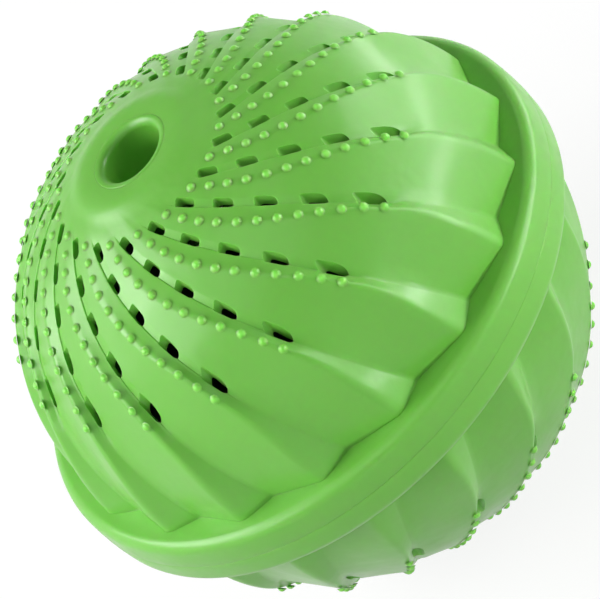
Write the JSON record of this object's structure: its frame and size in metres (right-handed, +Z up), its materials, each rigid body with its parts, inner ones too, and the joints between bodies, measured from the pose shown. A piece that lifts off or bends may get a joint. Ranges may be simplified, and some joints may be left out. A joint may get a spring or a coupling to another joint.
{
  "type": "laundry ball",
  "caption": "Round hollow washing ball in two spirally fluted, slotted plastic halves round a centre tube, with loose ceramic beads inside, tumbled with a wash.",
  "frame": {"origin": "the middle of the ball, on the tube's axis in the joint between the two halves", "axes": "+Z up along the tube through the upper half; +X and +Y along two of the divider's fins"},
  "size_m": [0.1, 0.1, 0.09],
  "materials": {
    "shell_plastic": "leaf green moulded plastic, satin",
    "tube_plastic": "leaf green moulded plastic, satin",
    "divider_plastic": "dark moulded plastic",
    "magnet_metal": "plated ring magnet",
    "bead_clay": "unglazed red clay",
    "bead_white": "unglazed off-white ceramic",
    "bead_grey": "unglazed grey ceramic",
    "bead_brown": "unglazed brown ceramic"
  },
  "bodies": {
    "lower_half": {"lower_shell": "shell_plastic", "centre_tube": "tube_plastic", "divider": "divider_plastic", "lower_magnet": "magnet_metal", "upper_magnet": "magnet_metal"},
    "upper_half": {"upper_shell": "shell_plastic"},
    "bead_clay_1": {"bead_clay_1": "bead_clay"},
    "bead_clay_2": {"bead_clay_2": "bead_clay"},
    "bead_clay_3": {"bead_clay_3": "bead_clay"},
    "bead_clay_4": {"bead_clay_4": "bead_clay"},
    "bead_clay_5": {"bead_clay_5": "bead_clay"},
    "bead_clay_6": {"bead_clay_6": "bead_clay"},
    "bead_white_1": {"bead_white_1": "bead_white"},
    "bead_white_2": {"bead_white_2": "bead_white"},
    "bead_white_3": {"bead_white_3": "bead_white"},
    "bead_white_4": {"bead_white_4": "bead_white"},
    "bead_white_5": {"bead_white_5": "bead_white"},
    "bead_white_6": {"bead_white_6": "bead_white"},
    "bead_grey_1": {"bead_grey_1": "bead_grey"},
    "bead_grey_2": {"bead_grey_2": "bead_grey"},
    "bead_grey_3": {"bead_grey_3": "bead_grey"},
    "bead_grey_4": {"bead_grey_4": "bead_grey"},
    "bead_grey_5": {"bead_grey_5": "bead_grey"},
    "bead_grey_6": {"bead_grey_6": "bead_grey"},
    "bead_brown_1": {"bead_brown_1": "bead_brown"},
    "bead_brown_2": {"bead_brown_2": "bead_brown"},
    "bead_brown_3": {"bead_brown_3": "bead_brown"},
    "bead_brown_4": {"bead_brown_4": "bead_brown"},
    "bead_brown_5": {"bead_brown_5": "bead_brown"},
    "bead_brown_6": {"bead_brown_6": "bead_brown"}
  },
  "joints": [
    {"name": "upper_half_lift", "type": "slide", "parent": "lower_half", "child": "upper_half", "axis": [0, 0, 1], "range_m": [0, 0.06]},
    {"name": "bead_clay_1_rise", "type": "slide", "parent": "lower_half", "child": "bead_clay_1", "axis": [0, 0, 1], "range_m": [0, 0.0701]},
    {"name": "bead_clay_2_rise", "type": "slide", "parent": "lower_half", "child": "bead_clay_2", "axis": [0, 0, 1], "range_m": [0, 0.0701]},
    {"name": "bead_clay_3_rise", "type": "slide", "parent": "lower_half", "child": "bead_clay_3", "axis": [0, 0, 1], "range_m": [0, 0.0584]},
    {"name": "bead_clay_4_rise", "type": "slide", "parent": "lower_half", "child": "bead_clay_4", "axis": [0, 0, 1], "range_m": [0, 0.0584]},
    {"name": "bead_clay_5_rise", "type": "slide", "parent": "lower_half", "child": "bead_clay_5", "axis": [0, 0, 1], "range_m": [0, 0.0584]},
    {"name": "bead_clay_6_rise", "type": "slide", "parent": "lower_half", "child": "bead_clay_6", "axis": [0, 0, 1], "range_m": [0, 0.0584]},
    {"name": "bead_white_1_rise", "type": "slide", "parent": "lower_half", "child": "bead_white_1", "axis": [0, 0, 1], "range_m": [0, 0.0701]},
    {"name": "bead_white_2_rise", "type": "slide", "parent": "lower_half", "child": "bead_white_2", "axis": [0, 0, 1], "range_m": [0, 0.0701]},
    {"name": "bead_white_3_rise", "type": "slide", "parent": "lower_half", "child": "bead_white_3", "axis": [0, 0, 1], "range_m": [0, 0.0584]},
    {"name": "bead_white_4_rise", "type": "slide", "parent": "lower_half", "child": "bead_white_4", "axis": [0, 0, 1], "range_m": [0, 0.0584]},
    {"name": "bead_white_5_rise", "type": "slide", "parent": "lower_half", "child": "bead_white_5", "axis": [0, 0, 1], "range_m": [0, 0.0584]},
    {"name": "bead_white_6_rise", "type": "slide", "parent": "lower_half", "child": "bead_white_6", "axis": [0, 0, 1], "range_m": [0, 0.0584]},
    {"name": "bead_grey_1_rise", "type": "slide", "parent": "lower_half", "child": "bead_grey_1", "axis": [0, 0, 1], "range_m": [0, 0.0701]},
    {"name": "bead_grey_2_rise", "type": "slide", "parent": "lower_half", "child": "bead_grey_2", "axis": [0, 0, 1], "range_m": [0, 0.0701]},
    {"name": "bead_grey_3_rise", "type": "slide", "parent": "lower_half", "child": "bead_grey_3", "axis": [0, 0, 1], "range_m": [0, 0.0584]},
    {"name": "bead_grey_4_rise", "type": "slide", "parent": "lower_half", "child": "bead_grey_4", "axis": [0, 0, 1], "range_m": [0, 0.0584]},
    {"name": "bead_grey_5_rise", "type": "slide", "parent": "lower_half", "child": "bead_grey_5", "axis": [0, 0, 1], "range_m": [0, 0.0584]},
    {"name": "bead_grey_6_rise", "type": "slide", "parent": "lower_half", "child": "bead_grey_6", "axis": [0, 0, 1], "range_m": [0, 0.0584]},
    {"name": "bead_brown_1_rise", "type": "slide", "parent": "lower_half", "child": "bead_brown_1", "axis": [0, 0, 1], "range_m": [0, 0.0701]},
    {"name": "bead_brown_2_rise", "type": "slide", "parent": "lower_half", "child": "bead_brown_2", "axis": [0, 0, 1], "range_m": [0, 0.0701]},
    {"name": "bead_brown_3_rise", "type": "slide", "parent": "lower_half", "child": "bead_brown_3", "axis": [0, 0, 1], "range_m": [0, 0.0584]},
    {"name": "bead_brown_4_rise", "type": "slide", "parent": "lower_half", "child": "bead_brown_4", "axis": [0, 0, 1], "range_m": [0, 0.0584]},
    {"name": "bead_brown_5_rise", "type": "slide", "parent": "lower_half", "child": "bead_brown_5", "axis": [0, 0, 1], "range_m": [0, 0.0584]},
    {"name": "bead_brown_6_rise", "type": "slide", "parent": "lower_half", "child": "bead_brown_6", "axis": [0, 0, 1], "range_m": [0, 0.0584]}
  ]
}
